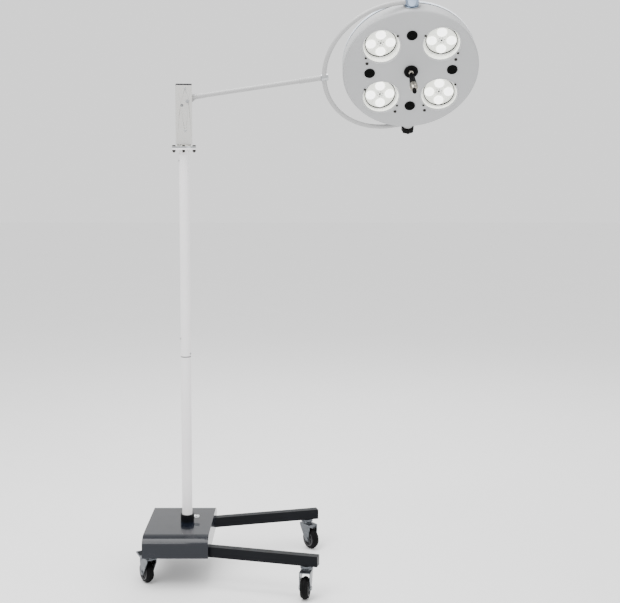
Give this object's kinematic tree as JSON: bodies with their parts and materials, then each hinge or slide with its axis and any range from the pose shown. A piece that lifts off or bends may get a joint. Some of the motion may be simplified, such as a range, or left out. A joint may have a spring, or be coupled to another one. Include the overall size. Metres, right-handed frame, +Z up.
{
  "type": "surgical light",
  "caption": "Mobile surgical light: round LED cup head in a C yoke on a spring-balanced swivel arm, two-part column and splayed castered base.",
  "frame": {"origin": "on the floor, under the middle of the whole lamp in its stored pose", "axes": "+Z up, +X from the column towards the head, +Y to the rear, away from the side the head shines to"},
  "size_m": [1.1745, 0.6147, 1.9776],
  "materials": {
    "base_cover": "gloss baked enamel",
    "base_pan": "satin enamel",
    "front_leg": "satin enamel",
    "rear_leg": "satin enamel",
    "caster_stems": "zinc plated",
    "ballast": "as cast",
    "power_supply": "sheet",
    "mains_inlet": "moulded",
    "power_rocker": "moulded",
    "column_collar": "satin enamel",
    "column_knob": "polished",
    "lower_column": "powder coat",
    "column_sleeve": "dark",
    "upper_column": "powder coat",
    "column_screws": "machined",
    "spindle": "turned",
    "flange_bolts": "black oxide",
    "thrust_washer": "moulded",
    "box_shell": "powder coat",
    "box_cap": "moulded",
    "bearing_block": "machined",
    "pivot_pin": "turned",
    "spring_seat": "machined",
    "box_screws": "machined",
    "arm_lever": "powder coat",
    "arm_tube": "powder coat",
    "rod_clevis": "machined",
    "spring_rod": "turned",
    "balance_spring": "spring steel",
    "yoke_tube": "powder coat",
    "yoke_spindle": "turned",
    "top_pivot_housing": "polished",
    "bottom_pivot_housing": "powder coat",
    "pivot_knob": "moulded",
    "head_pivots": "turned",
    "front_cover": "powder coat",
    "back_shell": "powder coat",
    "seam_gasket": "moulded",
    "reflectors": "metallised",
    "led_boards": "white mask",
    "led_lenses": "clear lit",
    "face_plugs": "moulded",
    "face_hub": "moulded",
    "cup_screws": "black",
    "handle_grip": "polished",
    "handle_tip": "moulded",
    "fork": "zinc plated",
    "tyre": "moulded",
    "wheel_core": "moulded",
    "pedal": "zinc plated"
  },
  "bodies": {
    "base": {"base_cover": "base_cover", "base_pan": "base_pan", "front_leg": "front_leg", "rear_leg": "rear_leg", "caster_stems": "caster_stems", "ballast": "ballast", "power_supply": "power_supply", "mains_inlet": "mains_inlet", "column_collar": "column_collar", "lower_column": "lower_column", "column_sleeve": "column_sleeve", "upper_column": "upper_column", "column_screws": "column_screws", "spindle": "spindle", "flange_bolts": "flange_bolts", "thrust_washer": "thrust_washer"},
    "column_knob": {"column_knob": "column_knob"},
    "power_rocker": {"power_rocker": "power_rocker"},
    "caster_front_head": {"fork_front_head": "fork"},
    "wheel_front_head": {"tyre_front_head": "tyre", "wheel_front_head": "wheel_core"},
    "caster_rear_head": {"fork_rear_head": "fork"},
    "wheel_rear_head": {"tyre_rear_head": "tyre", "wheel_rear_head": "wheel_core"},
    "caster_front_column": {"fork_front_column": "fork"},
    "wheel_front_column": {"tyre_front_column": "tyre", "wheel_front_column": "wheel_core"},
    "pedal_front_column": {"pedal_front_column": "pedal"},
    "caster_rear_column": {"fork_rear_column": "fork"},
    "wheel_rear_column": {"tyre_rear_column": "tyre", "wheel_rear_column": "wheel_core"},
    "pedal_rear_column": {"pedal_rear_column": "pedal"},
    "spring_box": {"box_shell": "box_shell", "box_cap": "box_cap", "bearing_block": "bearing_block", "pivot_pin": "pivot_pin", "spring_seat": "spring_seat", "box_screws": "box_screws"},
    "arm": {"arm_lever": "arm_lever", "arm_tube": "arm_tube"},
    "spring_rod": {"rod_clevis": "rod_clevis", "spring_rod": "spring_rod", "balance_spring": "balance_spring"},
    "yoke": {"yoke_tube": "yoke_tube", "yoke_spindle": "yoke_spindle", "top_pivot_housing": "top_pivot_housing", "bottom_pivot_housing": "bottom_pivot_housing"},
    "pivot_knob": {"pivot_knob": "pivot_knob"},
    "head": {"head_pivots": "head_pivots", "front_cover": "front_cover", "back_shell": "back_shell", "seam_gasket": "seam_gasket", "reflectors": "reflectors", "led_boards": "led_boards", "led_lenses": "led_lenses", "face_plugs": "face_plugs", "face_hub": "face_hub", "cup_screws": "cup_screws"},
    "handle": {"handle_grip": "handle_grip", "handle_tip": "handle_tip"}
  },
  "joints": [
    {"name": "column_knob_turn", "type": "hinge", "parent": "base", "child": "column_knob", "pos_m": [-0.393, 0.007, 0.19], "axis": [1, 0, 0], "continuous": true},
    {"name": "power_rocker_rock", "type": "hinge", "parent": "base", "child": "power_rocker", "pos_m": [-0.441, 0.191, 0.13], "axis": [1, 0, 0], "range_deg": [0, 14]},
    {"name": "front_head_swivel", "type": "hinge", "parent": "base", "child": "caster_front_head", "pos_m": [-0.004, -0.23512, 0.09], "axis": [0, 0, 1], "continuous": true},
    {"name": "front_head_roll", "type": "hinge", "parent": "caster_front_head", "child": "wheel_front_head", "pos_m": [-0.00817, -0.25876, 0.0375], "axis": [0.9848, -0.1736, 0], "continuous": true},
    {"name": "rear_head_swivel", "type": "hinge", "parent": "base", "child": "caster_rear_head", "pos_m": [-0.004, 0.24912, 0.09], "axis": [0, 0, 1], "continuous": true},
    {"name": "rear_head_roll", "type": "hinge", "parent": "caster_rear_head", "child": "wheel_rear_head", "pos_m": [0.01011, 0.2297, 0.0375], "axis": [0.809, 0.5878, 0], "continuous": true},
    {"name": "front_column_swivel", "type": "hinge", "parent": "base", "child": "caster_front_column", "pos_m": [-0.532, -0.129, 0.09], "axis": [0, 0, 1], "continuous": true},
    {"name": "front_column_roll", "type": "hinge", "parent": "caster_front_column", "child": "wheel_front_column", "pos_m": [-0.54472, -0.10865, 0.0375], "axis": [-0.848, -0.5299, 0], "continuous": true},
    {"name": "front_column_brake", "type": "hinge", "parent": "caster_front_column", "child": "pedal_front_column", "pos_m": [-0.5479, -0.10356, 0.08], "axis": [-0.848, -0.5299, 0], "range_deg": [0, 13]},
    {"name": "rear_column_swivel", "type": "hinge", "parent": "base", "child": "caster_rear_column", "pos_m": [-0.532, 0.143, 0.09], "axis": [0, 0, 1], "continuous": true},
    {"name": "rear_column_roll", "type": "hinge", "parent": "caster_rear_column", "child": "wheel_rear_column", "pos_m": [-0.52579, 0.16618, 0.0375], "axis": [-0.9659, 0.2588, 0], "continuous": true},
    {"name": "rear_column_brake", "type": "hinge", "parent": "caster_rear_column", "child": "pedal_rear_column", "pos_m": [-0.52424, 0.17198, 0.08], "axis": [-0.9659, 0.2588, 0], "range_deg": [0, 13]},
    {"name": "box_swivel", "type": "hinge", "parent": "base", "child": "spring_box", "pos_m": [-0.418, 0.007, 1.474], "axis": [0, 0, 1], "range_deg": [-170, 170]},
    {"name": "arm_pitch", "type": "hinge", "parent": "spring_box", "child": "arm", "pos_m": [-0.40714, 0.00876, 1.618], "axis": [0.1599, -0.9871, 0], "range_deg": [-38, 21]},
    {"name": "spring_rod_slide", "type": "slide", "parent": "spring_box", "child": "spring_rod", "axis": [0, 0, 1], "range_m": [-0.0085, 0.0145], "deforming": ["balance_spring"]},
    {"name": "yoke_roll", "type": "hinge", "parent": "arm", "child": "yoke", "pos_m": [0.05532, 0.08366, 1.70309], "axis": [0.9754, 0.158, 0.1538], "range_deg": [-171, 99]},
    {"name": "pivot_knob_turn", "type": "hinge", "parent": "yoke", "child": "pivot_knob", "pos_m": [0.35964, 0.29372, 1.53402], "axis": [0.0289, 0.6001, -0.7994], "continuous": true},
    {"name": "head_tilt", "type": "hinge", "parent": "yoke", "child": "head", "pos_m": [0.35184, 0.13169, 1.74986], "axis": [-0.0289, -0.6001, 0.7994], "range_deg": [-79, 100]},
    {"name": "handle_turn", "type": "hinge", "parent": "head", "child": "handle", "pos_m": [0.3537, 0.0917, 1.7199], "axis": [0.0372, -0.7998, -0.5991], "range_deg": [0, 90]}
  ],
  "couplings": [
    {"joint": "spring_rod_slide", "follows": "arm_pitch", "m_per_rad": -0.0203}
  ]
}
